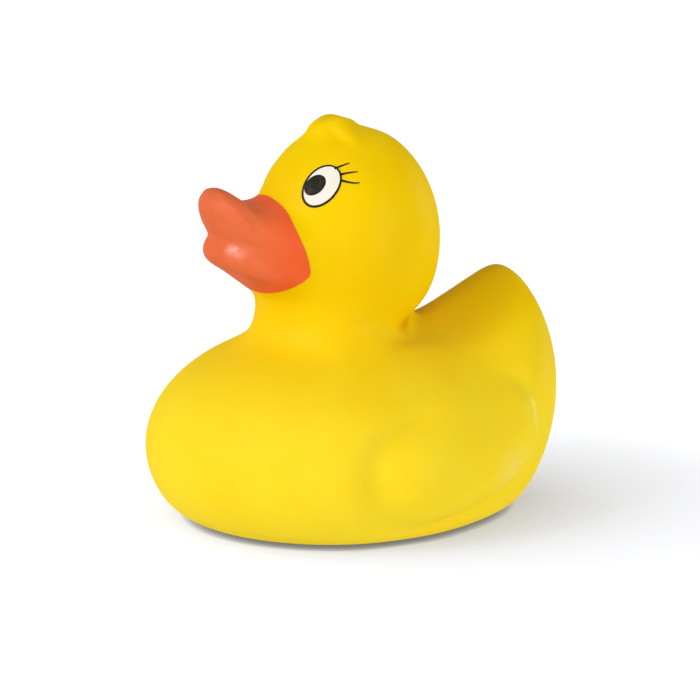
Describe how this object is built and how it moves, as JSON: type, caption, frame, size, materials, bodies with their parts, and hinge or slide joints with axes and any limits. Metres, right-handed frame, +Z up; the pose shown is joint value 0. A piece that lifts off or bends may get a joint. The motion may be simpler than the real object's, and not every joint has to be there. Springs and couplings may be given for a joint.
{
  "type": "rubber duck",
  "caption": "Hollow moulded vinyl bath duck with an orange painted beak, printed eyes, folded wings, an upturned tail and a small whistle disc in its flat base.",
  "frame": {"origin": "on the surface that the duck stands on, under the middle of its box", "axes": "+Z up, the beak points along -Y, the duck's left side is +X"},
  "size_m": [0.0732, 0.0804, 0.0765],
  "materials": {
    "yellow_vinyl": "satin moulded soft vinyl, slightly translucent",
    "beak_paint": "sprayed satin orange on the vinyl",
    "eye_white_ink": "printed white ink, satin",
    "eye_black_ink": "printed black ink, satin",
    "whistle_plastic": "moulded, satin"
  },
  "bodies": {
    "root": {"duck_body": "yellow_vinyl", "whistle": "whistle_plastic"}
  },
  "joints": []
}
